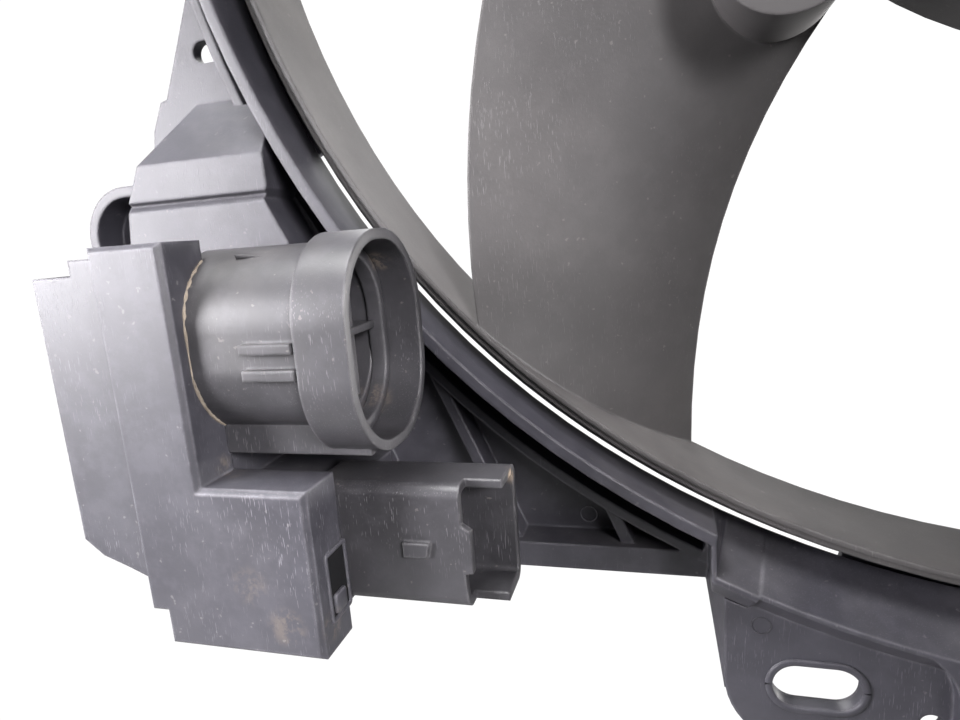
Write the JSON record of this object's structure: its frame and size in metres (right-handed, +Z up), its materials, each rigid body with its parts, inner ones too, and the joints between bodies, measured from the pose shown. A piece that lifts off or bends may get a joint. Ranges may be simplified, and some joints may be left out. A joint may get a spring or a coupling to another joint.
{
  "type": "radiator fan shroud",
  "caption": "Moulded plastic radiator fan shroud with ringed axial fan, rear motor on four arms and a plug-in control module with two sockets.",
  "frame": {"origin": "on the fan axis, in the front face of the fixing lugs, at the centre of the four fixing slots", "axes": "+Y along the fan axis from the module side to the motor side, +Z up, +X to the right seen from the module side"},
  "size_m": [0.46, 0.114, 0.469],
  "materials": {
    "shroud_plastic": "matte",
    "fan_plastic": "matte",
    "module_plastic": "matte",
    "socket_plastic": "matte",
    "motor_steel": "satin",
    "shaft_steel": "satin",
    "bush_brass": "satin",
    "core_iron": "matte",
    "brush_carbon": "matte",
    "board_green": "satin"
  },
  "bodies": {
    "shroud": {"shroud_frame": "shroud_plastic", "motor_case": "motor_steel", "motor_end_plate": "motor_steel", "front_bush": "bush_brass", "rear_bush": "bush_brass", "magnet_left": "core_iron", "magnet_right": "core_iron", "brush_upper": "brush_carbon", "brush_lower": "brush_carbon", "motor_screw_1": "shaft_steel", "motor_screw_2": "shaft_steel", "motor_screw_3": "shaft_steel", "module_cover": "module_plastic", "module_housing": "module_plastic", "power_socket": "socket_plastic", "power_terminal_1": "bush_brass", "power_terminal_2": "bush_brass", "signal_socket": "socket_plastic", "signal_pin_1": "bush_brass", "signal_pin_2": "bush_brass", "signal_pin_3": "bush_brass", "circuit_board": "board_green", "relay_1": "socket_plastic", "relay_2": "socket_plastic"},
    "fan_rotor": {"fan": "fan_plastic", "motor_shaft": "shaft_steel", "fan_nut": "shaft_steel", "armature": "core_iron"}
  },
  "joints": [
    {"name": "fan_spin", "type": "hinge", "parent": "shroud", "child": "fan_rotor", "pos_m": [0, 0, 0], "axis": [0, 1, 0], "continuous": true}
  ]
}
